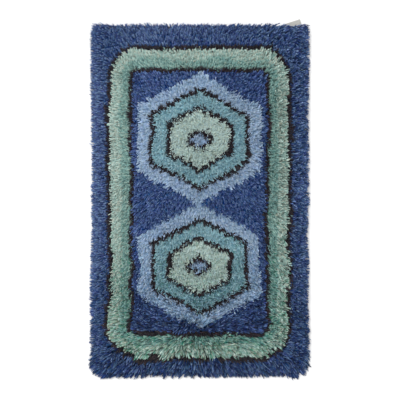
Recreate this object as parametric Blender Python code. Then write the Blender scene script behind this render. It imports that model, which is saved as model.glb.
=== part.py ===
"""A rya rug: shaggy pile knotted on a woven ground cloth, with a plain cloth label tacked under its edge.

Metres, +Z up. The origin lies on the floor, under the middle of the rug.
+X runs across the rug. +Y runs along it, towards the back end, where the label shows.
"""

import math
import random
from typing import NamedTuple

import bmesh
import bpy
from mathutils import Matrix, Vector, noise

# The rug, measured over the tips of its pile
RUG_WIDTH = 1.000
RUG_LENGTH = 1.610

# Layers, from the floor up
GROUND_THICK = 0.003
SEAT_GAP = 0.0003
RIM_DEPTH = 0.017
PILE_DEPTH = 0.028
SHOULDER = 0.070

# The pile's top: clumps of knots on broad, low lumps
CLUMPS_ACROSS = 28
CLUMPS_ALONG = 46
CLUMP_RELIEF = 0.0085
CLUMP_SPREAD = 0.048
CLUMP_DRIFT = 0.0060
LUMP_RELIEF = 0.0075
LUMP_SPREAD = 0.150

# The locks at the rim
LOCK_SEED = 7
LOCK_LENGTHS = (0.78, 1.10)
LOCK_LEAN = 0.0045
LOCK_DROOP = 0.0055
LOCK_DROOP_SPREAD = 0.0012

# The outline's unevenness
WANDER = 0.0050
WANDERS_ALONG_AN_EDGE = 3.2
BACK_CORNER_RADIUS = 0.030
FRONT_CORNER_RADIUS = 0.075

# The ground cloth ends a little inside the pile's rim wall
GROUND_INSET = 0.002
GROUND_SIDES = 160

# The label, of which one corner shows past the pile
LABEL_WIDTH = 0.080
LABEL_HEIGHT = 0.060
LABEL_THICK = 0.0010
LABEL_CORNER = (0.454, 0.822)
LABEL_TURN = math.radians(18)
LABEL_ROUNDING = 0.002
CUTTER_MARGIN = 0.010


class Edge(NamedTuple):
    """One edge of the rug: how far its pile hangs over, how far its middle draws in, and its noise's seed."""

    overhang: float
    waist: float
    seed: float


LEFT = Edge(overhang=0.019, waist=0.008, seed=3.1)
RIGHT = Edge(overhang=0.019, waist=0.004, seed=11.7)
FRONT = Edge(overhang=0.023, waist=0.004, seed=23.3)
BACK = Edge(overhang=0.015, waist=0.001, seed=37.9)


class Section(NamedTuple):
    """A section of a lock: its share of the length, and how much of the root's width and height is left there."""

    along: float
    width: float
    height: float


LOCK_SECTIONS = (
    Section(along=0.50, width=0.82, height=0.74),
    Section(along=1.00, width=0.42, height=0.32),
)


def smooth_step(share):
    share = min(max(share, 0.0), 1.0)
    return share * share * (3 - 2 * share)


def edge_offset(edge, along):
    """How far this edge lies outside its straight line, at a share from -1 to 1 along it."""
    wander = WANDER * noise.noise(Vector((along * WANDERS_ALONG_AN_EDGE, edge.seed, 0)))
    return wander - edge.waist * (1 - along * along)


def reach(edge, half_size, along, inset):
    """How far the rim wall lies from the middle on this edge."""
    return half_size - edge.overhang + edge_offset(edge, along) - inset


def rounded(x, y, half_width, half_length, radius):
    """Pulls a point of a rectangle's square corner onto a round one."""
    dx = (abs(x) - half_width + radius) / radius
    dy = (abs(y) - half_length + radius) / radius
    if dx <= 0 or dy <= 0:
        return x, y
    pulled_x = half_width - radius + radius * dx * math.sqrt(1 - dy * dy / 2)
    pulled_y = half_length - radius + radius * dy * math.sqrt(1 - dx * dx / 2)
    return math.copysign(pulled_x, x), math.copysign(pulled_y, y)


def plan_point(u, v, inset=0.0):
    """The place on the floor of a point (u, v) of the unit square, whose rim is the pile's rim wall."""
    across = reach(RIGHT if u > 0 else LEFT, RUG_WIDTH / 2, v, inset)
    along = reach(BACK if v > 0 else FRONT, RUG_LENGTH / 2, u, inset)
    radius = BACK_CORNER_RADIUS if v > 0 else FRONT_CORNER_RADIUS
    return rounded(u * across, v * along, across, along, radius - inset)


def depth_inside(u, v):
    """How far inside the rim wall a point of the unit square lies."""
    return min((1 - abs(u)) * RUG_WIDTH / 2, (1 - abs(v)) * RUG_LENGTH / 2)


def unevenness(x, y, spread, layer):
    """Smooth noise from about -1 to 1, in waves about this wide, and another one for each layer."""
    return noise.noise(Vector((x / spread, y / spread, layer)))


def pile_top(u, v):
    """The place of a point of the pile's top, on its lumps and clumps."""
    x, y = plan_point(u, v)
    inner = smooth_step(depth_inside(u, v) / SHOULDER)
    lump = unevenness(x, y, LUMP_SPREAD, layer=0.5)
    clump = unevenness(x, y, CLUMP_SPREAD, layer=5.5)
    depth = RIM_DEPTH + inner * (PILE_DEPTH - RIM_DEPTH + LUMP_RELIEF * lump + CLUMP_RELIEF * clump)
    x += inner * CLUMP_DRIFT * unevenness(x, y, CLUMP_SPREAD, layer=10.5)
    y += inner * CLUMP_DRIFT * unevenness(x, y, CLUMP_SPREAD, layer=15.5)
    return Vector((x, y, GROUND_THICK + SEAT_GAP + depth))


def overhang_towards(out):
    """How far the pile hangs over where the rim wall faces this way."""
    across = RIGHT.overhang if out.x > 0 else LEFT.overhang
    along = BACK.overhang if out.y > 0 else FRONT.overhang
    return across * out.x**2 + along * out.y**2


def turn_round_middle(face):
    """The direction of a face as seen from the rug's middle, which puts the rim's faces in order."""
    middle = face.calc_center_median()
    return math.atan2(middle.y, middle.x)


def grow_lock(bm, face, chance):
    """Draws a face of the rim wall out into a lock of pile, which thins, leans and droops towards its tip."""
    root = face.calc_center_median()
    out = Vector((face.normal.x, face.normal.y, 0)).normalized()
    side = Vector((-out.y, out.x, 0))
    length = overhang_towards(out) * chance.uniform(*LOCK_LENGTHS)
    lean = chance.uniform(-LOCK_LEAN, LOCK_LEAN)
    droop = LOCK_DROOP + chance.uniform(-LOCK_DROOP_SPREAD, LOCK_DROOP_SPREAD)
    corners = [vert.co - root for vert in face.verts]
    for section in LOCK_SECTIONS:
        face = bmesh.ops.extrude_discrete_faces(bm, faces=[face])["faces"][0]
        bend = section.along**2
        middle = root + out * length * section.along + side * lean * bend
        middle.z -= droop * bend
        for vert, corner in zip(face.verts, corners):
            sideways = side * corner.dot(side) * section.width
            upright = Vector((0, 0, corner.z * section.height))
            vert.co = middle + sideways + upright


def cloth_material(name, colour, roughness):
    material = bpy.data.materials.new(name)
    material.use_nodes = True
    shader = material.node_tree.nodes["Principled BSDF"]
    shader.inputs["Base Color"].default_value = (*colour, 1)
    shader.inputs["Roughness"].default_value = roughness
    shader.inputs["Metallic"].default_value = 0.0
    return material


def add_object(name, data, collection, material=None):
    made = bpy.data.objects.new(name, data)
    collection.objects.link(made)
    if material:
        made.data.materials.append(material)
    return made


def build_pile(collection):
    """The pile: one lumpy slab on the ground cloth, whose rim wall is drawn out into locks."""
    bm = bmesh.new()
    bmesh.ops.create_grid(bm, x_segments=CLUMPS_ACROSS, y_segments=CLUMPS_ALONG, size=1.0)
    rim = [edge for edge in bm.edges if edge.is_boundary]
    bmesh.ops.subdivide_edges(bm, edges=rim, cuts=1)
    for vert in bm.verts:
        vert.co = pile_top(vert.co.x, vert.co.y)

    rim = [edge for edge in bm.edges if edge.is_boundary]
    wall = bmesh.ops.extrude_edge_only(bm, edges=rim)["geom"]
    for vert in wall:
        if isinstance(vert, bmesh.types.BMVert):
            vert.co.z = GROUND_THICK + SEAT_GAP
    wall_faces = [face for face in wall if isinstance(face, bmesh.types.BMFace)]
    foot = [edge for edge in bm.edges if edge.is_boundary]
    bmesh.ops.contextual_create(bm, geom=foot)
    bmesh.ops.recalc_face_normals(bm, faces=bm.faces)

    chance = random.Random(LOCK_SEED)
    for face in sorted(wall_faces, key=turn_round_middle):
        grow_lock(bm, face, chance)
    bmesh.ops.triangulate(bm, faces=bm.faces)

    mesh = bpy.data.meshes.new("pile")
    bm.to_mesh(mesh)
    bm.free()
    mesh.shade_smooth()
    mesh.set_sharp_from_angle(angle=math.radians(50))
    return add_object("pile", mesh, collection, cloth_material("pile_yarn", (0.060, 0.095, 0.270), 0.95))


def square_rim(count):
    """Points round the rim of the unit square, anticlockwise and evenly spaced on each side."""
    on_a_side = count // 4
    shares = [-1 + 2 * step / on_a_side for step in range(on_a_side)]
    front = [(share, -1) for share in shares]
    right = [(1, share) for share in shares]
    back = [(-share, 1) for share in shares]
    left = [(-1, -share) for share in shares]
    return front + right + back + left


def build_ground(collection):
    """The ground cloth: a flat sheet in the rug's outline, made from a filled curve."""
    outline = bpy.data.curves.new("ground_outline", "CURVE")
    outline.dimensions = "2D"
    outline.fill_mode = "BOTH"
    outline.extrude = GROUND_THICK / 2
    rim = [plan_point(u, v, GROUND_INSET) for u, v in square_rim(GROUND_SIDES)]
    spline = outline.splines.new("POLY")
    spline.points.add(len(rim) - 1)
    for point, (x, y) in zip(spline.points, rim):
        point.co = (x, y, 0, 1)
    spline.use_cyclic_u = True
    drawn = add_object("ground_outline", outline, collection)
    bpy.context.view_layer.update()

    graph = bpy.context.evaluated_depsgraph_get()
    mesh = bpy.data.meshes.new_from_object(drawn.evaluated_get(graph), depsgraph=graph)
    bpy.data.objects.remove(drawn)
    bm = bmesh.new()
    bm.from_mesh(mesh)
    bmesh.ops.remove_doubles(bm, verts=bm.verts, dist=0.00001)
    bmesh.ops.recalc_face_normals(bm, faces=bm.faces)
    bm.to_mesh(mesh)
    bm.free()
    ground = add_object("ground", mesh, collection, cloth_material("ground_cloth", (0.300, 0.260, 0.200), 0.9))
    ground.location.z = GROUND_THICK / 2
    return ground


def label_block(name, collection, grow, low, high):
    """A block in the label's outline, grown by this much all round, between two heights."""
    bm = bmesh.new()
    bmesh.ops.create_cube(bm, size=1.0)
    upright = [edge for edge in bm.edges if edge.verts[0].co.xy == edge.verts[1].co.xy]
    size = (LABEL_WIDTH + 2 * grow, LABEL_HEIGHT + 2 * grow, high - low)
    bmesh.ops.scale(bm, vec=size, verts=bm.verts)
    bmesh.ops.bevel(
        bm, geom=upright, offset=LABEL_ROUNDING + grow, segments=3, profile=0.5, affect="EDGES"
    )
    mesh = bpy.data.meshes.new(name)
    bm.to_mesh(mesh)
    bm.free()

    block = add_object(name, mesh, collection)
    block.rotation_euler.z = LABEL_TURN
    middle = Vector(LABEL_CORNER) - Matrix.Rotation(LABEL_TURN, 2) @ Vector((LABEL_WIDTH, LABEL_HEIGHT)) / 2
    block.location = (middle.x, middle.y, (low + high) / 2)
    return block


def build_label(collection):
    """The label: a plain piece of cloth tacked askew under the back edge."""
    label = label_block("label", collection, grow=0.0, low=0.0, high=LABEL_THICK)
    label.data.materials.append(cloth_material("label_cloth", (0.520, 0.500, 0.460), 0.85))
    return label


def seat_label(ground, cutters):
    """Lets the ground cloth rise over the label, which lies between it and the floor."""
    room_top = LABEL_THICK + SEAT_GAP
    cutter = label_block("label_room", cutters, grow=SEAT_GAP, low=-CUTTER_MARGIN, high=room_top)
    cutter.hide_render = True
    cutter.display_type = "WIRE"
    cut = ground.modifiers.new("label_room", "BOOLEAN")
    cut.operation = "DIFFERENCE"
    cut.solver = "EXACT"
    cut.object = cutter


def main():
    for old in list(bpy.data.objects):
        bpy.data.objects.remove(old)
    rug = bpy.data.collections.new("rya_rug")
    cutters = bpy.data.collections.new("cutters")
    bpy.context.scene.collection.children.link(rug)
    bpy.context.scene.collection.children.link(cutters)

    build_pile(rug)
    ground = build_ground(rug)
    build_label(rug)
    seat_label(ground, cutters)


main()
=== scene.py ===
"""The looks of the rya rug: strands of wool pile on their ground cloth, and the label tacked under its edge.

Metres, +Z up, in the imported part's own frame. The camera looks straight down on the rug.
"""

import math
from typing import NamedTuple

import bpy
import numpy as np
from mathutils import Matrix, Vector, noise
from mathutils.bvhtree import BVHTree
from mathutils.kdtree import KDTree


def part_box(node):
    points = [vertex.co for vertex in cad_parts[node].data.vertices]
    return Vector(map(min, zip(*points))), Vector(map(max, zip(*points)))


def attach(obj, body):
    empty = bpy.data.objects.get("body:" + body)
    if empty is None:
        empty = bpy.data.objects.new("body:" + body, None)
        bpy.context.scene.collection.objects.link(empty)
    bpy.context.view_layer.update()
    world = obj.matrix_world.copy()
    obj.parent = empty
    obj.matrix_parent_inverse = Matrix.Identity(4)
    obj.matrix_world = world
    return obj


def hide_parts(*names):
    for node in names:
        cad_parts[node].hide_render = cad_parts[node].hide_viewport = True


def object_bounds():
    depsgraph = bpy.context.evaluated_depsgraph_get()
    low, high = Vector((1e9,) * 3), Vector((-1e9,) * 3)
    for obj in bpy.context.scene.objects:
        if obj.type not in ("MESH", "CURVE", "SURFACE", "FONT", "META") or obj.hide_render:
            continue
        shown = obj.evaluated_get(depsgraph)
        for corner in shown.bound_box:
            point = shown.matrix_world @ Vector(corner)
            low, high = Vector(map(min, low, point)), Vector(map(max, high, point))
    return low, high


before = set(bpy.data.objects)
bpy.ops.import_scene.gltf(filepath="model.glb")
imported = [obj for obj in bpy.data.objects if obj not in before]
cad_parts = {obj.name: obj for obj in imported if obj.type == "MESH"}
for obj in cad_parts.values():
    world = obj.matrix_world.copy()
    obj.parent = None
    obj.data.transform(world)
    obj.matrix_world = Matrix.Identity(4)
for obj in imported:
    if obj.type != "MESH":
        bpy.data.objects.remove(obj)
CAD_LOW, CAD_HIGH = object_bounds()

CHANCE = np.random.default_rng(20)
BAKE_MAP = "OFBake"
YARN_MAP = "Yarn"

# The photograph's frame
PHOTO_WIDTH_PX = 400
METRES_PER_PIXEL = 0.00455
PHOTO_CENTRE = (-0.0005, -0.001)
CAMERA_HEIGHT = 3.4
SENSOR_MM = 36.0

# Knots, in rows across the rug
ROW_PITCH = 0.0168
KNOT_PITCH = 0.0083
KNOT_INSET = 0.005
BACK_INSET = 0.010
KNOT_JITTER = (0.0020, 0.0022)
ROW_BLUR = 0.0045
SIDE_ROW_BLUR = 0.0072
RIM_BLUR = 0.0030
STRANDS_IN_KNOT = 6
STRANDS_IN_CROWN_KNOT = 7
STRANDS_IN_RIM_KNOT = 9
STRANDS_IN_CORNER_KNOT = 15
CORNER_NEARNESS = 0.36
RIM_KNOT_DEPTH = 0.030

# A strand of pile yarn: its rings' places along it and their widths, and how it bends at its knee
YARN_RADIUS = 0.0018
RIM_YARN_RADIUS = 0.0016
RADIUS_RANGE = (0.85, 1.15)
YARN_SIDES = 3
ROOT_DEPTH = 0.0012
RING_PLACES = (0.36, 0.93)
RING_WIDTHS = (1.25, 1.10)
KNEE_HEIGHT = 0.9
KNEE_SHIFT = (0.05, 0.35)
KNEE_JITTER = 0.0014
ARCH = 0.0270

# How the tufts lean
REACH_LEFT = 0.029
REACH_RIGHT = 0.022
REACH_FRONT = 0.028
REACH_BACK = 0.0112
REACH_BACK_LEFT = 0.0047
REACH_BACK_RIGHT = -0.0060
REACH_WANDER = 0.16
REACH_WANDER_SPREAD = 0.17
RIM_FAN_WIDTH = 0.040
SIDE_WIDTH = 0.100
SIDE_DRIFT = 0.10
NAP = 0.018
SWIRL = 0.011
SWIRL_SPREAD = 0.070
SHAGGY_FRONT = -0.42
SHAGGY_RUN = 0.22
SHAGGIER = 0.55
CORNER_REACH = 0.18
CORNER_SPREAD = 2.4
CROWN_UPRIGHT = 0.3
TUFT_LEAN = (0.0026, 0.0038)
STRAND_LEAN = np.array([0.0026, 0.0034])
CROWN_STRAND_LEAN = np.array([0.0080, 0.0115])
RIM_SPREAD = 0.5

# Where the pile is loose, and how much more its tufts lean about there
LOOSE_FRONT = 0.42
LOOSE_RIGHT = 0.15
LOOSE_RIGHT_RUN = 0.35
LOOSE_TUFT_LEAN = 1.6

# The lower pile, where the tufts lie packed against each other: a lumpy sheet under the strands
LOWER_CELLS_IN_KNOT = 2
LOWER_CELLS_IN_ROW = 3
LOWER_HEIGHT = 0.56
LOWER_LUMP = 0.45
LOWER_JITTER = 0.0012
LOWER_RIM = 0.024
LOWER_SHIFT = 0.35
LOWER_RAGGED = 0.0035
# The lower pile's rise sets its painted depth shade: darker in its low places, lighter on its lumps
LOWER_RISE = (0.30, 0.95)
LOWER_FACE_YARN = np.array([0.25, 0.10])
LOWER_BAKE_SHARE = 0.97
HIDDEN_BAKE_SIZE = 0.01
# Painted shade: the lower pile is darker still where the pile is loose
LOOSE_HOLLOW_SHADE = 0.45
LOOSE_LOWER_HEIGHT = 0.75

# How the tone drifts over the rug: its darkening to the front and the right is partly painted shade, partly
# dye
TONE_AT_FRONT = 0.62
TONE_RUN = 0.45
TONE_AT_RIGHT = 0.84
RIGHT_TONE_START = -0.5
DARK_CORNER = (-0.42, 0.74)
DARK_CORNER_REACH = 0.14
TONE_AT_DARK_CORNER = 0.82
TONE_DRIFT = 0.08
TONE_SPREAD = 0.16
STRAND_TONE = 0.14
LOOSE_STRAND_TONE = 0.60
LOOSE_TUFT_TONE = 0.34
STEADY_RUN = 0.5

# The pile's surface
CLIPPING = 0.0060
CLIPPING_POWER = 1.5
RIM_TOP = 0.0195
RIM_FOOT = 0.0030
RIM_FOOT_RANGE = (0.7, 1.3)
RIM_FALL = 0.0215

# Layers of the noise, so far apart that each is independent
WANDER_LAYERS = (1.5, 6.5)
SWIRL_LAYERS = (21.5, 31.5)
TONE_LAYER = 41.5
REACH_LAYER = 51.5

# The first of a yarn's shades are its steady ones, and the others are strays towards the front
STEADY_SHADES = 5
STEADY_SHARE = 5 / 7


class Yarn(NamedTuple):
    """A yarn of the pile: its shades, as sRGB in hex, of which each strand takes one.

    Hollow shade is painted shade: how light the lower pile is kept in this yarn, between the tufts. Richness
    is how much more saturated the yarn is at half its tone, painted as colour deepens in shade, and shading
    the power to which its tone is taken, so pale yarns darken less in the painted shade.
    """

    name: str
    shades: tuple
    hollow_shade: float = 0.85
    richness: float = 1.2
    shading: float = 0.85


BLUE = Yarn(
    "border_blue",
    ("3a4f84", "4d659b", "6580ae", "304374", "7893b9", "6a80aa", "293b70"),
    hollow_shade=0.62,
    richness=1.3,
    shading=1.0,
)
INK = Yarn(
    "deep_blue",
    ("3b538b", "4a64a0", "5f7db3", "32467b", "7590c0", "34477e", "28396a"),
    hollow_shade=0.62,
    richness=1.2,
    shading=1.35,
)
SAGE = Yarn(
    "sage",
    ("c1d8d1", "cddfd7", "b5d4cd", "ccd5c9", "aac9c3", "82b3a2", "aecab8"),
    richness=1.5,
    shading=0.72,
)
GREEN = Yarn(
    "sea_green",
    ("94bbb5", "a2c5be", "86aeab", "acc6bc", "789f9d", "5f9a8a", "9cc0ae"),
    richness=1.45,
    shading=0.68,
)
AQUA = Yarn(
    "pale_aqua",
    ("cfe3df", "d6e7e1", "c6dfdb", "d5e5d8", "c7e0e2", "accfc4", "ced5c3"),
    richness=1.4,
    shading=0.70,
)
SKY = Yarn("sky_blue", ("adc6e2", "bcd5ea", "9dbbdb", "a9c4e6", "c4d7ea", "8fb6dc", "a4b4cc"))
TEAL = Yarn("teal", ("9fc6d2", "abd3dc", "8ebdcb", "b0d1d9", "84b0c3", "6ca09d", "8babc3"))
OUTLINE = Yarn("outline_brown", ("26242b", "302b31", "1f2029", "402f36", "2a2932"))
YARNS = (BLUE, OUTLINE, SAGE, GREEN, SKY, TEAL, AQUA, INK)


class Crown(NamedTuple):
    """A place that the nap leans away from, and how far out it takes to lean over fully."""

    place: tuple
    spread: tuple


BACK_CROWN = Crown(place=(0.0, 0.30), spread=(0.24, 0.28))
FRONT_CROWN = Crown(place=(-0.04, -0.60), spread=(0.12, 0.10))
FRONT_CROWN_REACH = (0.60, 0.26)


class Field(NamedTuple):
    """The field inside the plain border: its edges, and its corners' radius."""

    left: float
    right: float
    front: float
    back: float
    corner: float


class Band(NamedTuple):
    """A band of yarn inside an edge: how deep it reaches from that edge, and its yarn."""

    reach: float
    yarn: Yarn


FIELD = Field(left=-0.412, right=0.404, front=-0.710, back=0.690, corner=0.150)
BORDER_BANDS = (
    Band(0.0, BLUE),
    Band(ROW_PITCH, OUTLINE),
    Band(0.062, SAGE),
    Band(0.100, GREEN),
    Band(0.100 + ROW_PITCH, OUTLINE),
)
EDGE_WANDER = 0.008
EDGE_WANDER_SPREAD = 0.10

# Six-sided medallions, one above the other
MEDALLION_MIDDLES = (-0.296, 0.276)
MEDALLION_HALF_WIDTH = 0.268
MEDALLION_HALF_LENGTH = 0.290
MEDALLION_SHOULDER = 0.140
MEDALLION_BANDS = (
    Band(0.052, SKY),
    Band(0.070, OUTLINE),
    Band(0.124, TEAL),
    Band(0.142, OUTLINE),
    Band(0.212, AQUA),
    Band(0.229, OUTLINE),
    Band(0.300, SKY),
)


def smooth_step(share):
    """From 0 to 1 with a level start and end, as the share goes from 0 to 1."""
    share = np.clip(share, 0, 1)
    return share * share * (3 - 2 * share)


def mix(low, high, share):
    """Low where the share is 0, high where it is 1, and in between elsewhere."""
    return low + (high - low) * share


def field_noise(places, spread, layer):
    """Smooth noise from about -1 to 1 at each place, in waves about this wide."""
    return np.array([noise.noise(Vector((x / spread, y / spread, layer))) for x, y in places])


def turning(angle):
    """The matrix that turns flat places, as rows, by this angle."""
    return np.array([[math.cos(angle), math.sin(angle)], [-math.sin(angle), math.cos(angle)]])


def node_places(node):
    """A CAD node's vertices, as an array."""
    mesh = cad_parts[node].data
    places = np.empty(3 * len(mesh.vertices))
    mesh.vertices.foreach_get("co", places)
    return places.reshape(-1, 3)


RIM_TOLERANCE = 0.0001
RIM_DECIMALS = 5


def ground_rim():
    """The ground cloth's outline, anticlockwise."""
    places = node_places("ground")
    top = places[places[:, 2] > places[:, 2].max() - RIM_TOLERANCE, :2]
    rim = np.unique(top.round(RIM_DECIMALS), axis=0)
    return rim[np.argsort(np.arctan2(rim[:, 1], rim[:, 0]))]


RIM = ground_rim()
GROUND_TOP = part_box("ground")[1][2]


def rim_depth(places):
    """How far inside the ground cloth's outline each place lies, below zero outside it."""
    start, step = RIM, np.roll(RIM, -1, axis=0) - RIM
    offset = places[:, None] - start
    share = np.clip((offset * step).sum(2) / (step**2).sum(1), 0, 1)
    distance = np.linalg.norm(offset - share[..., None] * step, axis=2).min(1)
    crosses = (start[:, 1] > places[:, None, 1]) != (start[:, 1] + step[:, 1] > places[:, None, 1])
    with np.errstate(divide="ignore", invalid="ignore"):
        crossing = start[:, 0] + step[:, 0] * (places[:, None, 1] - start[:, 1]) / step[:, 1]
    inside = (crosses & (places[:, None, 0] < crossing)).sum(1) % 2 == 1
    return np.where(inside, distance, -distance)


def rim_span(axis, level):
    """Where the line at this level of one axis meets the outline, as the other axis's range."""
    start, end = RIM, np.roll(RIM, -1, axis=0)
    crosses = (start[:, axis] > level) != (end[:, axis] > level)
    start, end = start[crosses], end[crosses]
    share = (level - start[:, axis]) / (end[:, axis] - start[:, axis])
    met = start[:, 1 - axis] + share * (end[:, 1 - axis] - start[:, 1 - axis])
    return met.min(), met.max()


def back_share(places):
    """How far back each place lies, from 0 at the ground cloth's front to 1 at its back."""
    return (places[:, 1] - RIM[:, 1].min()) / np.ptp(RIM[:, 1])


def pile_heights(places):
    """The height of the pile's top over each place, from its solid."""
    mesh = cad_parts["pile"].data
    tree = BVHTree.FromPolygons(
        [vertex.co for vertex in mesh.vertices], [polygon.vertices for polygon in mesh.polygons]
    )
    down, sky = Vector((0, 0, -1)), CAD_HIGH.z + 0.1
    hits = [tree.ray_cast(Vector((x, y, sky)), down)[0] for x, y in places]
    return np.array([hit.z if hit else RIM_TOP for hit in hits])


def knot_rows():
    """The front and the back row of knots, and how many rows there are after the first."""
    front, back = RIM[:, 1].min() + KNOT_INSET, RIM[:, 1].max() - BACK_INSET
    return front, back, round((back - front) / ROW_PITCH)


def lay_knots():
    """The knots' places, row by row."""
    front, back, rows = knot_rows()
    knots = []
    for y in np.linspace(front, back, rows + 1):
        left, right = rim_span(1, y)
        count = round((right - left - 2 * KNOT_INSET) / KNOT_PITCH)
        x = np.linspace(left + KNOT_INSET, right - KNOT_INSET, count + 1)
        knots.append(np.stack([x, np.full_like(x, y)], axis=1))
    return np.concatenate(knots)


def field_depth(x, y):
    """How far inside the field's edge each place lies, below zero in the border."""
    middle_x, middle_y = (FIELD.left + FIELD.right) / 2, (FIELD.front + FIELD.back) / 2
    past_x = np.abs(x - middle_x) - (FIELD.right - FIELD.left) / 2 + FIELD.corner
    past_y = np.abs(y - middle_y) - (FIELD.back - FIELD.front) / 2 + FIELD.corner
    in_corner = np.hypot(np.maximum(past_x, 0), np.maximum(past_y, 0))
    return FIELD.corner - in_corner - np.minimum(np.maximum(past_x, past_y), 0)


def medallion_depth(x, y):
    """How far inside the edge of a medallion round (0, 0) each place lies, below zero outside it."""
    x, y = np.abs(x), np.abs(y)
    rise = MEDALLION_HALF_LENGTH - MEDALLION_SHOULDER
    slant = MEDALLION_HALF_WIDTH * (MEDALLION_HALF_LENGTH - y) - rise * x
    return np.minimum(MEDALLION_HALF_WIDTH - x, slant / math.hypot(MEDALLION_HALF_WIDTH, rise))


def knot_yarns(knots):
    """The yarn of each knot, as its number in YARNS: two medallions within plain borders."""
    wander = EDGE_WANDER * np.stack(
        [field_noise(knots, EDGE_WANDER_SPREAD, layer) for layer in WANDER_LAYERS], axis=1
    )
    x, y = (knots + wander).T
    yarns = np.full(len(knots), YARNS.index(INK))

    def paint(depth, bands, inside):
        for band in reversed(bands):
            yarns[inside & (depth < band.reach)] = YARNS.index(band.yarn)

    for middle_y in MEDALLION_MIDDLES:
        depth = medallion_depth(x - (FIELD.left + FIELD.right) / 2, y - middle_y)
        paint(depth, MEDALLION_BANDS, depth > 0)
    depth = field_depth(x, y)
    paint(depth, BORDER_BANDS, depth < BORDER_BANDS[-1].reach)
    return yarns


def nap_from(crown, places):
    """The way that a crown makes the nap lean at each place, at most 1 long."""
    away = (places - crown.place) / crown.spread
    far = np.maximum(np.linalg.norm(away, axis=1), 1e-6)
    return away * (np.tanh(far) / far)[:, None]


def looseness(places):
    """How loose the pile is at each place: close at the back left, loose in front and at the right."""
    in_front = smooth_step(1 - back_share(places) / LOOSE_FRONT)
    at_right = smooth_step((places[:, 0] - LOOSE_RIGHT) / LOOSE_RIGHT_RUN)
    return np.clip(in_front + at_right, 0, 1)


def tuft_leans(knots):
    """How far each knot's tuft leans over: outwards near the rim, by the nap and its swirls in the field.

    Also gives how near the rim each knot is across and along the rug, from 0 in the field to 1 at the rim.
    """
    rows = {y: rim_span(1, y) for y in np.unique(knots[:, 1])}
    left, right = np.array([rows[y] for y in knots[:, 1]]).T
    front, back = np.array([rim_span(0, x) for x in knots[:, 0]]).T
    x, y = knots.T
    from_sides = np.array([x - left, right - x, y - front, back - y])
    near = np.exp(-((from_sides / RIM_FAN_WIDTH) ** 2))
    near_left, near_right = np.exp(-((from_sides[:2] / SIDE_WIDTH) ** 2))
    reach = 1 + REACH_WANDER * field_noise(knots, REACH_WANDER_SPREAD, REACH_LAYER)

    swirl = [SWIRL * field_noise(knots, SWIRL_SPREAD, layer) for layer in SWIRL_LAYERS]
    from_crown = (knots - FRONT_CROWN.place) / FRONT_CROWN_REACH
    by_front = np.exp(-(from_crown**2).sum(1))
    nap = NAP * mix(nap_from(BACK_CROWN, knots), nap_from(FRONT_CROWN, knots), by_front[:, None])
    lean_x, lean_y = (nap.T + swirl) * (1 + SHAGGIER * smooth_step((SHAGGY_FRONT - y) / SHAGGY_RUN))
    lean_x = mix(mix(lean_x, -REACH_LEFT * reach, near[0]), REACH_RIGHT * reach, near[1])
    lean_y *= mix(1.0, SIDE_DRIFT, np.maximum(near_left, near_right))
    reach_back = mix(mix(REACH_BACK, REACH_BACK_LEFT, near_left), REACH_BACK_RIGHT, near_right)
    lean_y = mix(mix(lean_y, -REACH_FRONT * reach, near[2]), reach_back, near[3])

    beside = np.column_stack([near[:2].max(0), near[2:].max(0)])
    own = CHANCE.normal(0, TUFT_LEAN, knots.shape) * mix(1.0, RIM_SPREAD, beside)
    own *= mix(1.0, LOOSE_TUFT_LEAN, looseness(knots))[:, None]
    corner = 1 + CORNER_REACH * near[:2].max(0) * (near[2] - near[3])
    return np.column_stack([lean_x * corner, lean_y * corner]) + own, beside


def knot_tones(knots):
    """How light each knot's yarn is, darkening towards the front, the right and the back left corner."""
    # Darker to the front and the right: partly painted shade, where the pile leans away from the key light,
    # partly dye
    past_front = smooth_step(back_share(knots) / TONE_RUN)
    tone = mix(TONE_AT_FRONT, 1.0, past_front)
    tone *= mix(1.0, TONE_AT_RIGHT, past_front * smooth_step(knots[:, 0] - RIGHT_TONE_START))
    from_corner = np.linalg.norm(knots - DARK_CORNER, axis=1)
    tone *= mix(1.0, TONE_AT_DARK_CORNER, np.exp(-((from_corner / DARK_CORNER_REACH) ** 2)))
    return tone * (1 + TONE_DRIFT * field_noise(knots, TONE_SPREAD, TONE_LAYER))


class Strands(NamedTuple):
    """Strands of yarn, one row of each array for a strand, bent from the root past the knee to the tip."""

    root: np.ndarray
    knee: np.ndarray
    tip: np.ndarray
    radius: np.ndarray
    spin: np.ndarray
    shade: np.ndarray
    tuft: np.ndarray
    tone: np.ndarray

    def only(self, chosen):
        """The chosen strands."""
        return Strands(*(values[chosen] for values in self))


def tuft_tops(knots, leans):
    """How high each tuft's tips are: as the pile's solid, falling off past the ground cloth's rim."""
    tops = pile_heights(knots)
    tip_depth = rim_depth(knots + leans)
    fall = np.clip(-tip_depth / RIM_FALL, 0, 1)
    return np.where(tip_depth > 0, tops, RIM_FOOT + (tops - RIM_FOOT) * (1 - fall**2))


def strands_in_knots(beside, upright):
    """How many strands each knot has: more where its tuft is upright, at the rim and at a corner."""
    in_knot = np.where(upright > CROWN_UPRIGHT, STRANDS_IN_CROWN_KNOT, STRANDS_IN_KNOT)
    at_rim = beside.max(1) > math.exp(-((RIM_KNOT_DEPTH / RIM_FAN_WIDTH) ** 2))
    in_knot = np.where(at_rim, STRANDS_IN_RIM_KNOT, in_knot)
    return np.where(beside.prod(1) > CORNER_NEARNESS, STRANDS_IN_CORNER_KNOT, in_knot)


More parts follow.
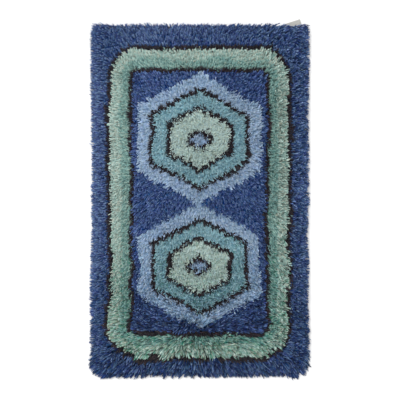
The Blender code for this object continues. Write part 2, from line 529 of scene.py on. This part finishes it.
def grow_pile(knots, leans, beside, tones):
    """The number of each strand's knot, and all strands of the pile, knot by knot."""
    tops = tuft_tops(knots, leans)
    upright = np.clip(1 - np.linalg.norm(leans, axis=1) / NAP, 0, 1)
    owner = np.repeat(np.arange(len(knots)), strands_in_knots(beside, upright))
    count = len(owner)
    spread = mix(STRAND_LEAN, CROWN_STRAND_LEAN, upright[owner, None])
    spread = spread * mix(1.0, RIM_SPREAD, beside[owner])
    spread = spread * mix(1.0, CORNER_SPREAD, beside.prod(1))[owner, None]
    lean = leans[owner] + spread * CHANCE.normal(0, 1, (count, 2))
    length = np.linalg.norm(lean, axis=1)

    sideways = np.abs(lean[:, 0]) / length
    row_blur = mix(ROW_BLUR, SIDE_ROW_BLUR, beside[owner, 0]) * sideways
    at = knots[owner] + CHANCE.normal(0, KNOT_JITTER, (count, 2))
    at[:, 0] += RIM_BLUR * beside[owner, 1] * CHANCE.normal(0, 1, count)
    at[:, 1] += row_blur * CHANCE.normal(0, 1, count)
    clipped = CLIPPING * CHANCE.random(count) ** CLIPPING_POWER
    height = np.maximum(tops[owner] - clipped, RIM_FOOT * CHANCE.uniform(*RIM_FOOT_RANGE, count))

    root = np.column_stack([at, np.full(count, GROUND_TOP - ROOT_DEPTH)])
    tip = np.column_stack([at + lean, height])
    arch = ARCH * np.clip(length / REACH_FRONT, 0, 1)
    knee_height = np.maximum(KNEE_HEIGHT * height, arch)
    knee_shift = lean * CHANCE.uniform(*KNEE_SHIFT, (count, 1))
    knee_at = at + knee_shift + CHANCE.normal(0, KNEE_JITTER, (count, 2))

    loose = looseness(knots)
    tuft_tone = tones * (1 + LOOSE_TUFT_TONE * loose * CHANCE.uniform(-1, 1, len(knots)))
    own_tone = 1 + mix(STRAND_TONE, LOOSE_STRAND_TONE, loose)[owner] * CHANCE.uniform(-1, 1, count)
    steady = smooth_step(back_share(knots) / STEADY_RUN)[owner]
    radius = mix(YARN_RADIUS, RIM_YARN_RADIUS, beside[owner].max(1))
    return owner, Strands(
        root=root,
        knee=np.column_stack([knee_at, knee_height]),
        tip=tip,
        radius=radius * CHANCE.uniform(*RADIUS_RANGE, count),
        spin=CHANCE.uniform(0, 2 * math.pi, count),
        shade=CHANCE.random(count) * mix(1.0, STEADY_SHARE, steady),
        tuft=CHANCE.random(len(knots))[owner],
        tone=tuft_tone[owner] * own_tone,
    )


def strand_places(strands):
    """The vertices of each strand: its root, its rings and its tip."""
    root, knee, tip = strands.root, strands.knee, strands.tip
    across = np.column_stack([root[:, 1] - tip[:, 1], tip[:, 0] - root[:, 0], np.zeros(len(root))])
    across /= np.maximum(np.linalg.norm(across, axis=1), 1e-6)[:, None]
    angles = strands.spin[:, None] + np.arange(YARN_SIDES) * 2 * math.pi / YARN_SIDES
    rings = []
    for place, width in zip(RING_PLACES, RING_WIDTHS):
        middle = (1 - place) ** 2 * root + 2 * place * (1 - place) * knee + place**2 * tip
        along = (1 - place) * (knee - root) + place * (tip - knee)
        along /= np.linalg.norm(along, axis=1)[:, None]
        side = across - (across * along).sum(1)[:, None] * along
        side /= np.linalg.norm(side, axis=1)[:, None]
        over = np.cross(along, side)
        spoke = np.cos(angles)[..., None] * side[:, None] + np.sin(angles)[..., None] * over[:, None]
        rings.append(middle[:, None] + width * strands.radius[:, None, None] * spoke)
    return np.concatenate([root[:, None], *rings, tip[:, None]], axis=1)


def strand_faces():
    """One strand's faces: for each, its corners, and each corner's place around and along the strand."""
    sides, rings = YARN_SIDES, len(RING_PLACES)
    tip = 1 + rings * sides
    faces, around, along = [], [], []
    for side in range(sides):
        following = (side + 1) % sides
        left, middle, right = side / sides, (side + 0.5) / sides, (side + 1) / sides
        faces.append((0, 1 + following, 1 + side))
        around.append((middle, right, left))
        along.append((0.0, RING_PLACES[0], RING_PLACES[0]))
        for ring in range(rings - 1):
            low, high = 1 + ring * sides, 1 + (ring + 1) * sides
            faces.append((low + side, low + following, high + following, high + side))
            around.append((left, right, right, left))
            along.append((RING_PLACES[ring],) * 2 + (RING_PLACES[ring + 1],) * 2)
        last = tip - sides
        faces.append((last + side, last + following, tip))
        around.append((left, right, middle))
        along.append((RING_PLACES[-1], RING_PLACES[-1], 1.0))
    return faces, around, along


FACES, AROUND, ALONG = strand_faces()
CELL_MARGIN = 0.07


def bake_cells(count):
    """The corner and the side of each strand's own cell in the bake map."""
    columns = math.ceil(math.sqrt(count))
    number = np.arange(count)
    return np.stack([number % columns, number // columns], axis=1) / columns, 1 / columns


def add_map(mesh, name, corner_places):
    """Gives the mesh a UV map with these places for its faces' corners."""
    mesh.uv_layers.new(name=name).uv.foreach_set("vector", corner_places.ravel())


def set_at_vertices(mesh, **values):
    """Gives the mesh a number at each vertex under each of these names."""
    for name, numbers in values.items():
        mesh.attributes.new(name, "FLOAT", "POINT").data.foreach_set("value", numbers)


def show_mesh(mesh):
    """A new object in the scene with this mesh."""
    made = bpy.data.objects.new(mesh.name, mesh)
    bpy.context.scene.collection.objects.link(made)
    return made


def build_mesh(name, places, faces):
    """A smooth mesh in the scene, from its vertices' places and its faces."""
    mesh = bpy.data.meshes.new(name)
    mesh.from_pydata([tuple(place) for place in places], [], faces)
    mesh.shade_smooth()
    return show_mesh(mesh)


def build_strands(name, strands):
    """A mesh of closed tapering tubes, one for each strand."""
    places = strand_places(strands)
    count, per_strand = places.shape[:2]
    corners = np.concatenate([np.array(face) for face in FACES])
    corner_numbers = corners + per_strand * np.arange(count)[:, None]
    face_totals = np.tile([len(face) for face in FACES], count)
    face_starts = np.cumsum(face_totals) - face_totals

    mesh = bpy.data.meshes.new(name)
    mesh.vertices.add(count * per_strand)
    mesh.vertices.foreach_set("co", places.ravel())
    mesh.loops.add(corner_numbers.size)
    mesh.loops.foreach_set("vertex_index", corner_numbers.ravel())
    mesh.polygons.add(len(face_totals))
    mesh.polygons.foreach_set("loop_start", face_starts)
    mesh.polygons.foreach_set("use_smooth", np.ones(len(face_totals), bool))
    mesh.update(calc_edges=True)

    around = np.concatenate([np.array(values) for values in AROUND])
    along = np.concatenate([np.array(values) for values in ALONG])
    on_strand = np.stack([around, along], axis=1)
    add_map(mesh, YARN_MAP, np.tile(on_strand, (count, 1)))
    cell_corner, cell_side = bake_cells(count)
    in_cell = CELL_MARGIN + (1 - 2 * CELL_MARGIN) * on_strand
    add_map(mesh, BAKE_MAP, cell_corner[:, None] + cell_side * in_cell)
    set_at_vertices(
        mesh,
        rise=np.tile([0.0, *np.repeat(RING_PLACES, YARN_SIDES), 1.0], count),
        shade=np.repeat(strands.shade, per_strand),
        tuft=np.repeat(strands.tuft, per_strand),
        tone=np.repeat(strands.tone, per_strand),
    )
    return show_mesh(mesh)


def lower_pile_grid():
    """The lower pile's grid, row by row, and how far inside its edge each place lies."""
    front, back, rows = knot_rows()
    columns = LOWER_CELLS_IN_KNOT * round(np.ptp(RIM[:, 0]) / KNOT_PITCH)
    y = np.linspace(front, back, LOWER_CELLS_IN_ROW * rows + 1)
    spans = np.array([rim_span(1, level) for level in y]) + [KNOT_INSET, -KNOT_INSET]
    x = mix(spans[:, :1], spans[:, 1:], np.linspace(0, 1, columns + 1))
    y = np.broadcast_to(y[:, None], x.shape)
    inside = np.min([x - spans[:, :1], spans[:, 1:] - x, y - front, back - y], axis=0)
    return np.stack([x, y], axis=2), inside


def lower_pile_top(places, inside):
    """The lower pile's top over the grid, and how high each vertex is for its place, from -1 to 1."""
    peak = CHANCE.uniform(-1, 1, len(places))
    lump = LOWER_HEIGHT * (1 + LOWER_LUMP * peak) * smooth_step(inside / LOWER_RIM)
    lump *= mix(1.0, LOOSE_LOWER_HEIGHT, looseness(places))
    height = (pile_heights(places) - GROUND_TOP) * lump
    jitter = LOWER_JITTER * CHANCE.normal(0, 1, places.shape) * (inside > 0)[:, None]
    return np.column_stack([places + jitter, GROUND_TOP + height]), peak


def closed_grid(rows, columns):
    """How a grid of vertices is closed: its rim's vertices in order, its faces, and how many are on top.

    The vertices under the rim follow the grid's, and the middle of the underside is the last.
    """
    number = np.arange(rows * columns).reshape(rows, columns)
    rim = np.concatenate([number[0, :-1], number[:-1, -1], number[-1, :0:-1], number[:0:-1, 0]])
    quads = [number[:-1, :-1], number[:-1, 1:], number[1:, 1:], number[1:, :-1]]
    top = np.stack(quads, axis=2).reshape(-1, 4)
    under = number.size + np.arange(len(rim))
    under_next, rim_next = np.roll(under, -1), np.roll(rim, -1)
    edge = np.column_stack([under, under_next, rim_next, rim])
    underside = np.column_stack([under_next, under, np.full(len(under), under[-1] + 1)])
    return rim, [*top.tolist(), *edge.tolist(), *underside.tolist()], len(top)


def lower_pile_knots(places, knots, leans):
    """The knot whose yarn shows at each place of the lower pile, ragged where two yarns meet."""
    tree = KDTree(len(knots))
    for number, (x, y) in enumerate(knots):
        tree.insert((x, y, 0), number)
    tree.balance()

    def nearest(places):
        return np.array([tree.find((x, y, 0))[1] for x, y in places])

    ragged = LOWER_RAGGED * CHANCE.normal(0, 1, places.shape)
    return nearest(places - LOWER_SHIFT * leans[nearest(places)] + ragged)


def map_lower_pile(mesh, flat, faces, on_top):
    """The lower pile's maps, from its vertices' places on the floor.

    In the yarn map each face turns its own way. In the bake map the hidden faces share a strip of their own.
    """
    totals = [len(face) for face in faces]
    first = np.cumsum([0, *totals])[:-1]
    places = flat[np.concatenate(faces)]
    turn = CHANCE.uniform(0, 2 * math.pi, len(faces)).repeat(totals)
    offset = (places - places[first].repeat(totals, axis=0)) / [KNOT_PITCH, ROW_PITCH]
    x, y = offset.T
    turned = np.stack([x * np.cos(turn) - y * np.sin(turn), (x + y) * np.sin(turn)], axis=1)
    add_map(mesh, YARN_MAP, turned * LOWER_FACE_YARN)

    bake = (places - flat.min(0)) / np.ptp(flat, axis=0) * [1, LOWER_BAKE_SHARE]
    hidden = (np.arange(len(faces)) >= on_top).repeat(totals)
    strip_middle = np.array([0.5, (LOWER_BAKE_SHARE + 1) / 2])
    bake[hidden] = strip_middle + HIDDEN_BAKE_SIZE * (bake[hidden] - 0.5)
    add_map(mesh, BAKE_MAP, bake)


def build_lower_pile(knots, leans, yarns, tones):
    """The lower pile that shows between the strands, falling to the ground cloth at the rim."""
    grid, inside = lower_pile_grid()
    places = grid.reshape(-1, 2)
    top, peak = lower_pile_top(places, inside.ravel())
    rim, faces, on_top = closed_grid(*inside.shape)
    floor_places = np.concatenate([places, places[rim], [[0, 0]]])
    below = floor_places[len(places) :]
    underside = np.column_stack([below, np.full(len(below), GROUND_TOP - ROOT_DEPTH)])
    made = build_mesh("pile_lower", np.concatenate([top, underside]), faces)

    over = np.concatenate([np.arange(len(places)), rim, [0]])
    knot = lower_pile_knots(places, knots, leans)[over]
    # Painted shade: the lower pile is kept darker than the strands by its yarn's hollow shade, most where
    # loose
    hollow_shade = np.array([YARNS[yarn].hollow_shade for yarn in yarns])
    tone = tones * hollow_shade * mix(1.0, LOOSE_HOLLOW_SHADE, looseness(knots))
    set_at_vertices(
        made.data,
        rise=mix(*LOWER_RISE, (1 + peak[over]) / 2),
        tuft=CHANCE.random(len(over)),
        tone=tone[knot],
    )
    dyes = [np.array([linear(shade) for shade in yarn.shades[:STEADY_SHADES]]) for yarn in YARNS]
    pick = CHANCE.integers(0, STEADY_SHADES, len(over))
    dye = np.array([dyes[yarn][choice] for yarn, choice in zip(yarns[knot], pick)])
    first_corners = np.concatenate([[face[0]] * len(face) for face in faces])
    colours = made.data.attributes.new("dye", "FLOAT_COLOR", "CORNER")
    colours.data.foreach_set("color", dye[first_corners].ravel())
    map_lower_pile(made.data, floor_places, faces, on_top)
    return made


def linear(hex_colour):
    """An sRGB colour in hex as linear red, green, blue and alpha."""
    parts = [int(hex_colour[start : start + 2], 16) / 255 for start in (0, 2, 4)]
    return (*[part / 12.92 if part <= 0.04045 else ((part + 0.055) / 1.055) ** 2.4 for part in parts], 1)


SHEEN_ROUGHNESS = 0.5
SPECULAR = 0.15


class Nodes:
    """Adds and joins a material's nodes."""

    def __init__(self, name):
        self.material = bpy.data.materials.new(name)
        self.material.use_nodes = True
        self.tree = self.material.node_tree
        self.shader = self.tree.nodes["Principled BSDF"]

    def add(self, kind, sockets=(), **settings):
        """A node with these settings. Each socket gets a value or another node's output."""
        node = self.tree.nodes.new(kind)
        for key, value in settings.items():
            setattr(node, key, value)
        for key, value in dict(sockets).items():
            self.feed(node.inputs[key], value)
        return node

    def feed(self, socket, value):
        """Gives a socket a value or another node's output."""
        if isinstance(value, bpy.types.NodeSocket):
            self.tree.links.new(value, socket)
        else:
            socket.default_value = value

    def attribute(self, name):
        """The number that the mesh holds under this name."""
        return self.add("ShaderNodeAttribute", attribute_name=name).outputs["Fac"]

    def math(self, operation, *values):
        """A sum, product or other operation on values and outputs."""
        node = self.add("ShaderNodeMath", operation=operation)
        for socket, value in zip(node.inputs, values):
            self.feed(socket, value)
        return node.outputs[0]

    def remap(self, value, old, new):
        """The value taken from its old range to a new one, and kept within that."""
        ends = {"From Min": old[0], "From Max": old[1], "To Min": new[0], "To Max": new[1]}
        return self.add("ShaderNodeMapRange", {"Value": value, **ends}).outputs["Result"]

    def steps(self, value, shades):
        """Picks one of the shades, which share the range from 0 to 1 evenly."""
        node = self.add("ShaderNodeValToRGB", {"Fac": value})
        ramp = node.color_ramp
        ramp.interpolation = "CONSTANT"
        while len(ramp.elements) < len(shades):
            ramp.elements.new(1.0)
        for number, shade in enumerate(shades):
            ramp.elements[number].position = number / len(shades)
            ramp.elements[number].color = linear(shade)
        return node.outputs["Color"]

    def tint(self, colour, hue=0.5, saturation=1.0, value=1.0):
        """The colour with its hue, saturation and lightness changed."""
        sockets = {"Color": colour, "Hue": hue, "Saturation": saturation, "Value": value}
        return self.add("ShaderNodeHueSaturation", sockets).outputs["Color"]

    def finish(self, colour, bump, depth, roughness, sheen):
        """Joins the colour and the bump to the shader."""
        raised = self.add("ShaderNodeBump", {"Height": bump, "Distance": depth, "Strength": 1.0})
        self.feed(self.shader.inputs["Base Color"], colour)
        self.feed(self.shader.inputs["Normal"], raised.outputs["Normal"])
        self.shader.inputs["Roughness"].default_value = roughness
        self.shader.inputs["Sheen Weight"].default_value = sheen
        self.shader.inputs["Sheen Roughness"].default_value = SHEEN_ROUGHNESS
        self.shader.inputs["Specular IOR Level"].default_value = SPECULAR
        return self.material


# Plied yarn: ranges of what lightens or darkens it, each with the lightness at that range's ends
PLY_TURNS = 7.0
# Painted shade in the ply's grooves
PLY_GROOVE_SHADE = (0.84, 1.06)
PLY_DEPTH = 0.0004
HEATHER_SIZE = 0.0012
HEATHER_RANGE = (0.3, 0.7)
HEATHER_LIGHT = (0.86, 1.14)
HEATHER_BUMP = 0.6
# Painted shade: the yarn darker down in the pile, towards its roots
RISE_RANGE = (0.2, 0.9)
PAINTED_DEPTH_SHADE = (0.78, 1.06)
TUFT_LIGHT = (0.94, 1.06)
TUFT_HUE = (0.492, 0.508)
# Painted deepening of colour in shade: the yarn is more saturated as its tone darkens
RICH_TONES = (0.5, 1.0)


def yarn_material(name, shades=(), richness=1.3, shading=1.0):
    """Plied wool, heathered, with painted shade down in the pile: each strand in one of these shades or its
    dye.
    """
    nodes = Nodes(name)
    place = nodes.add("ShaderNodeTexCoord").outputs["Object"]
    noise_sockets = {"Vector": place, "Scale": 1 / HEATHER_SIZE, "Detail": 2.0}
    heather = nodes.add("ShaderNodeTexNoise", noise_sockets).outputs["Fac"]
    uv = nodes.add("ShaderNodeUVMap", uv_map=YARN_MAP).outputs["UV"]
    split = nodes.add("ShaderNodeSeparateXYZ", {"Vector": uv})
    turns = nodes.math("MULTIPLY_ADD", split.outputs["Y"], PLY_TURNS, split.outputs["X"])
    ply = nodes.math("ABSOLUTE", nodes.math("SINE", nodes.math("MULTIPLY", turns, 2 * math.pi)))

    if shades:
        shade = nodes.steps(nodes.attribute("shade"), shades)
    else:
        shade = nodes.add("ShaderNodeAttribute", attribute_name="dye").outputs["Color"]
    tuft = nodes.attribute("tuft")
    tone = nodes.attribute("tone")
    # Painted shade: darker down in the pile, towards the roots
    value = nodes.remap(nodes.attribute("rise"), RISE_RANGE, PAINTED_DEPTH_SHADE)
    # Tufts and heather vary at random, the tone is partly painted shade, and the ply's grooves are painted
    # shade
    for light in (
        nodes.remap(tuft, (0.0, 1.0), TUFT_LIGHT),
        nodes.math("POWER", tone, shading),
        nodes.remap(heather, HEATHER_RANGE, HEATHER_LIGHT),
        nodes.remap(ply, (0.0, 1.0), PLY_GROOVE_SHADE),
    ):
        value = nodes.math("MULTIPLY", value, light)
    hue = nodes.remap(tuft, (0.0, 1.0), TUFT_HUE)
    # Painted deepening of colour in shade: more saturated as the tone darkens
    saturation = nodes.remap(tone, RICH_TONES, (richness, 1.0))
    colour = nodes.tint(shade, hue=hue, saturation=saturation, value=value)
    bump = nodes.math("ADD", ply, nodes.math("MULTIPLY", heather, HEATHER_BUMP))
    return nodes.finish(colour, bump, depth=PLY_DEPTH, roughness=0.95, sheen=0.15)


THREAD_PITCH = 0.0022
LABEL_THREAD_PITCH = 0.0008
# A grey-brown wool kept dark, partly as painted shade where it shows between the tufts and at the rim
GROUND_SHADES = ("76706a", "807a72", "8a847a")
LABEL_SHADES = ("b7b6b1", "bfbeb9", "c7c6c1")
STITCH_SHADES = ("b9b4a8", "c5c0b4", "aea99d")
OVER_SHARE = 0.5
RIB_SHARE = 0.8
MOTTLE_PER_THREAD = 0.4
MOTTLE_RANGE = (0.35, 0.65)
WEAVE_RANGE = (-0.5, 2.5)
WEAVE_GAP_SHADE = (0.78, 1.08)
WEAVE_DEPTH_PER_THREAD = 0.2


def woven_material(name, pitch, shades, rib_pitch=None):
    """Plain-woven cloth: threads over and under each other, with painted shade between them, and uneven,
    slightly mottled yarn.
    """
    nodes = Nodes(name)
    place = nodes.add("ShaderNodeTexCoord").outputs["Object"]
    split = nodes.add("ShaderNodeSeparateXYZ", {"Vector": place})
    warp = nodes.math("SINE", nodes.math("MULTIPLY", split.outputs["X"], math.pi / pitch))
    weft = nodes.math("SINE", nodes.math("MULTIPLY", split.outputs["Y"], math.pi / pitch))
    over = nodes.math("MULTIPLY", warp, weft)
    threads = nodes.math("ADD", nodes.math("ABSOLUTE", warp), nodes.math("ABSOLUTE", weft))
    weave = nodes.math("MULTIPLY_ADD", over, OVER_SHARE, threads)
    if rib_pitch:
        rib = nodes.math("SINE", nodes.math("MULTIPLY", split.outputs["Y"], 2 * math.pi / rib_pitch))
        weave = nodes.math("MULTIPLY_ADD", rib, RIB_SHARE, weave)
    noise_sockets = {"Vector": place, "Scale": MOTTLE_PER_THREAD / pitch, "Detail": 3.0}
    mottle = nodes.add("ShaderNodeTexNoise", noise_sockets).outputs["Fac"]
    colour = nodes.steps(nodes.remap(mottle, MOTTLE_RANGE, (0.0, 1.0)), shades)
    # Painted shade between the threads and ribs, lighter on their crowns
    colour = nodes.tint(colour, value=nodes.remap(weave, WEAVE_RANGE, WEAVE_GAP_SHADE))
    return nodes.finish(colour, weave, depth=WEAVE_DEPTH_PER_THREAD * pitch, roughness=0.9, sheen=0.1)


# The ground cloth: rings of vertices at these shares of the way out, and the room for the label under it
RIM_STEP = 0.015
CLOTH_RINGS = (0.15, 0.35, 0.55, 0.72, 0.84, 0.90, 0.94, 0.965, 0.985, 0.995, 1.0)
CLOTH_EDGE_GROWTH = 1.002
CLOTH_TOP_GAP = 0.0002
LABEL_ROOM = 0.00135
LABEL_DRAPE = 0.012


def build_ground_cloth():
    """The ground cloth, a thin sheet in its solid's outline, lifted a little where the label lies under it.

    Also gives its flat size and its area.
    """
    rim = []
    for start, side in zip(RIM, np.roll(RIM, -1, axis=0) - RIM):
        pieces = max(1, round(float(np.linalg.norm(side)) / RIM_STEP))
        rim.extend(start + side * number / pieces for number in range(pieces))
    rim = np.array(rim)
    high = GROUND_TOP - CLOTH_TOP_GAP
    label = node_places("label")[:, :2]
    label_low, label_high = label.min(0), label.max(0)

    def lift(places):
        outside = np.maximum(np.maximum(label_low - places, places - label_high), 0)
        return LABEL_ROOM * smooth_step(1 - np.linalg.norm(outside, axis=1) / LABEL_DRAPE)

    top = [np.column_stack([rim * share, np.full(len(rim), high)]) for share in CLOTH_RINGS]
    bottom = [np.column_stack([rim * share, lift(rim * share)]) for share in CLOTH_RINGS]
    edge = np.column_stack([rim * CLOTH_EDGE_GROWTH, (high + lift(rim)) / 2])
    rings = [*top, edge, *bottom[::-1]]
    places = np.concatenate([[[0, 0, high]], *rings, [[0, 0, 0]]])

    count = len(rim)
    faces = []
    for side in range(count):
        following = (side + 1) % count
        faces.append((0, 1 + side, 1 + following))
        for ring in range(len(rings) - 1):
            inner, outer = 1 + ring * count, 1 + (ring + 1) * count
            faces.append((inner + side, outer + side, outer + following, inner + following))
        final = 1 + (len(rings) - 1) * count
        faces.append((len(places) - 1, final + following, final + side))
    made = build_mesh("ground_cloth", places, faces)
    (x, y), (next_x, next_y) = rim.T, np.roll(rim, -1, axis=0).T
    return made, np.ptp(rim, axis=0), abs(np.sum(x * next_y - next_x * y)) / 2


class Label(NamedTuple):
    """The label's place on the floor: its middle, its turn and its two sides."""

    middle: np.ndarray
    turn: float
    width: float
    height: float


LABEL_TURN_STEP = 0.25


def read_label():
    """The label as its solid lies: at the turn where the rectangle around it is smallest."""
    places = node_places("label")[:, :2]

    def fit(angle):
        turned = places @ turning(-angle)
        low, high = turned.min(0), turned.max(0)
        width, height = high - low
        return Label((low + high) / 2 @ turning(angle), angle, width, height)

    fits = [fit(math.radians(degrees)) for degrees in np.arange(0, 90, LABEL_TURN_STEP)]
    return min(fits, key=lambda label: label.width * label.height)


LABEL_CELLS = (40, 30)
LABEL_HEM = 0.006
LABEL_HEM_RAMP = 0.002
LABEL_CLOTH_THICK = 0.00055
LABEL_HEM_THICK = 0.0003
LABEL_EDGE_THIN = 0.35
LABEL_ROUNDING = 0.0012
LABEL_FLOOR_GAP = 0.0001


def build_label_cloth(label):
    """The label: a small piece of tape with turned hems, so its edges are thicker."""
    across, along = LABEL_CELLS
    u, v = np.meshgrid(np.linspace(-1, 1, across + 1), np.linspace(-1, 1, along + 1))
    x, y = u * label.width / 2, v * label.height / 2
    from_edge = np.minimum(label.width / 2 - np.abs(x), label.height / 2 - np.abs(y))
    hem = 1 - smooth_step((from_edge - LABEL_HEM) / LABEL_HEM_RAMP + 1 / 2)
    rounding = smooth_step(from_edge / LABEL_ROUNDING + 1 / 3)
    thick = (LABEL_CLOTH_THICK + LABEL_HEM_THICK * hem) * mix(LABEL_EDGE_THIN, 1.0, rounding)
    flat = label.middle + np.stack([x, y], axis=2).reshape(-1, 2) @ turning(label.turn)
    top = np.column_stack([flat, LABEL_FLOOR_GAP + thick.ravel()])
    bottom = np.column_stack([flat, np.full(len(flat), LABEL_FLOOR_GAP)])

    columns, total = across + 1, len(top)
    faces = []
    for row in range(along):
        for column in range(across):
            first = row * columns + column
            face = (first, first + 1, first + columns + 1, first + columns)
            faces.append(face)
            faces.append(tuple(total + corner for corner in reversed(face)))
    front = list(range(columns))
    right = [row * columns + across for row in range(1, along + 1)]
    back = [along * columns + column for column in range(across - 1, -1, -1)]
    left = [row * columns for row in range(along - 1, 0, -1)]
    loop = front + right + back + left
    for here, following in zip(loop, loop[1:] + loop[:1]):
        faces.append((total + here, total + following, following, here))
    return build_mesh("label_cloth", np.concatenate([top, bottom]), faces)


STITCH_PITCH = 0.0034
STITCH_LENGTH = 0.0022
STITCH_RADIUS = 0.00022
STITCH_INSET = 0.0042
STITCH_END_HEIGHT = 0.00072
STITCH_TOP_HEIGHT = 0.00098


def build_label_stitches(label):
    """The running stitches that hold the label's hems."""
    half = np.array([label.width, label.height]) / 2 - STITCH_INSET
    corners = np.array([[-1, -1], [1, -1], [1, 1], [-1, 1]]) * half
    starts, ends = [], []
    for start, end in zip(corners, np.roll(corners, -1, axis=0)):
        length = float(np.linalg.norm(end - start))
        way = (end - start) / length
        for number in range(int(length / STITCH_PITCH)):
            starts.append(start + way * STITCH_PITCH * number)
            ends.append(start + way * (STITCH_PITCH * number + STITCH_LENGTH))
    starts = label.middle + np.array(starts) @ turning(label.turn)
    ends = label.middle + np.array(ends) @ turning(label.turn)
    count = len(starts)
    return build_strands(
        "label_stitches",
        Strands(
            root=np.column_stack([starts, np.full(count, STITCH_END_HEIGHT)]),
            knee=np.column_stack([(starts + ends) / 2, np.full(count, STITCH_TOP_HEIGHT)]),
            tip=np.column_stack([ends, np.full(count, STITCH_END_HEIGHT)]),
            radius=np.full(count, STITCH_RADIUS),
            spin=np.zeros(count),
            shade=CHANCE.random(count),
            tuft=np.full(count, 0.5),
            tone=np.ones(count),
        ),
    )


FLOOR_SIZE = 60.0
FLOOR_COLOUR = (0.93, 0.93, 0.93, 1)


def build_stage():
    """A plain pale floor."""
    bpy.ops.mesh.primitive_plane_add(size=FLOOR_SIZE)
    floor = bpy.context.active_object
    floor.name = "floor"
    nodes = Nodes("floor")
    nodes.shader.inputs["Base Color"].default_value = FLOOR_COLOUR
    nodes.shader.inputs["Roughness"].default_value = 0.9
    nodes.shader.inputs["Specular IOR Level"].default_value = 0.0
    floor.data.materials.append(nodes.material)
    return floor


KEY_PLACE = (-1.5, 1.9, 2.2)
KEY_SPREAD = math.radians(35)
KEY_STRENGTH = 2.0
SKY_STRENGTH = 0.80


def light_stage():
    """Plain soft studio light: an even white sky and one broad, far key light."""
    world = bpy.data.worlds.new("studio")
    world.use_nodes = True
    background = world.node_tree.nodes["Background"]
    background.inputs["Color"].default_value = (1, 1, 1, 1)
    background.inputs["Strength"].default_value = SKY_STRENGTH
    bpy.context.scene.world = world
    lamp = bpy.data.lights.new("key", "SUN")
    lamp.angle = KEY_SPREAD
    lamp.energy = KEY_STRENGTH
    key = bpy.data.objects.new("key", lamp)
    key.location = KEY_PLACE
    key.rotation_euler = (-Vector(KEY_PLACE)).to_track_quat("-Z", "Y").to_euler()
    bpy.context.scene.collection.objects.link(key)
    bpy.context.scene.view_settings.view_transform = "Standard"


def place_camera():
    """Straight above the rug, with the photograph's frame at the floor."""
    data = bpy.data.cameras.new("camera")
    data.sensor_width = SENSOR_MM
    data.lens = SENSOR_MM * CAMERA_HEIGHT / (PHOTO_WIDTH_PX * METRES_PER_PIXEL)
    camera = bpy.data.objects.new("camera", data)
    camera.location = (*PHOTO_CENTRE, CAMERA_HEIGHT)
    bpy.context.scene.collection.objects.link(camera)
    bpy.context.scene.camera = camera


def dress(piece, material, node):
    """Gives a piece its material, and takes it into the part in place of a CAD node."""
    piece.data.materials.append(material)
    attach(piece, "root")
    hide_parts(node)


def build_pile():
    """The pile's strands, one piece for each yarn in each half of the rug, over the lower pile."""
    knots = lay_knots()
    yarns = knot_yarns(knots)
    leans, beside = tuft_leans(knots)
    tones = knot_tones(knots)
    owner, strands = grow_pile(knots, leans, beside, tones)
    lower = build_lower_pile(knots, leans, yarns, tones)
    dress(lower, yarn_material("lower_pile"), "pile")
    pieces = [lower]
    at_right = knots[owner, 0] > 0
    for number, yarn in enumerate(YARNS):
        chosen = yarns[owner] == number
        material = yarn_material(yarn.name, yarn.shades, yarn.richness, yarn.shading)
        for half, members in {"left": chosen & ~at_right, "right": chosen & at_right}.items():
            piece = build_strands(f"pile_{yarn.name}_{half}", strands.only(members))
            dress(piece, material, "pile")
            pieces.append(piece)
    return pieces


def main():
    """The camera, the light and the floor, then the pile, the ground cloth and the label."""
    place_camera()
    light_stage()
    floor = build_stage()
    pile = build_pile()

    cloth, cloth_size, cloth_area = build_ground_cloth()
    weave = woven_material("ground_weave", THREAD_PITCH, GROUND_SHADES, rib_pitch=ROW_PITCH)
    dress(cloth, weave, "ground")

    label = read_label()
    tape = build_label_cloth(label)
    dress(tape, woven_material("label_weave", LABEL_THREAD_PITCH, LABEL_SHADES), "label")
    stitches = build_label_stitches(label)
    stitches.data.materials.append(yarn_material("stitch_thread", STITCH_SHADES))
    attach(stitches, "root")


main()
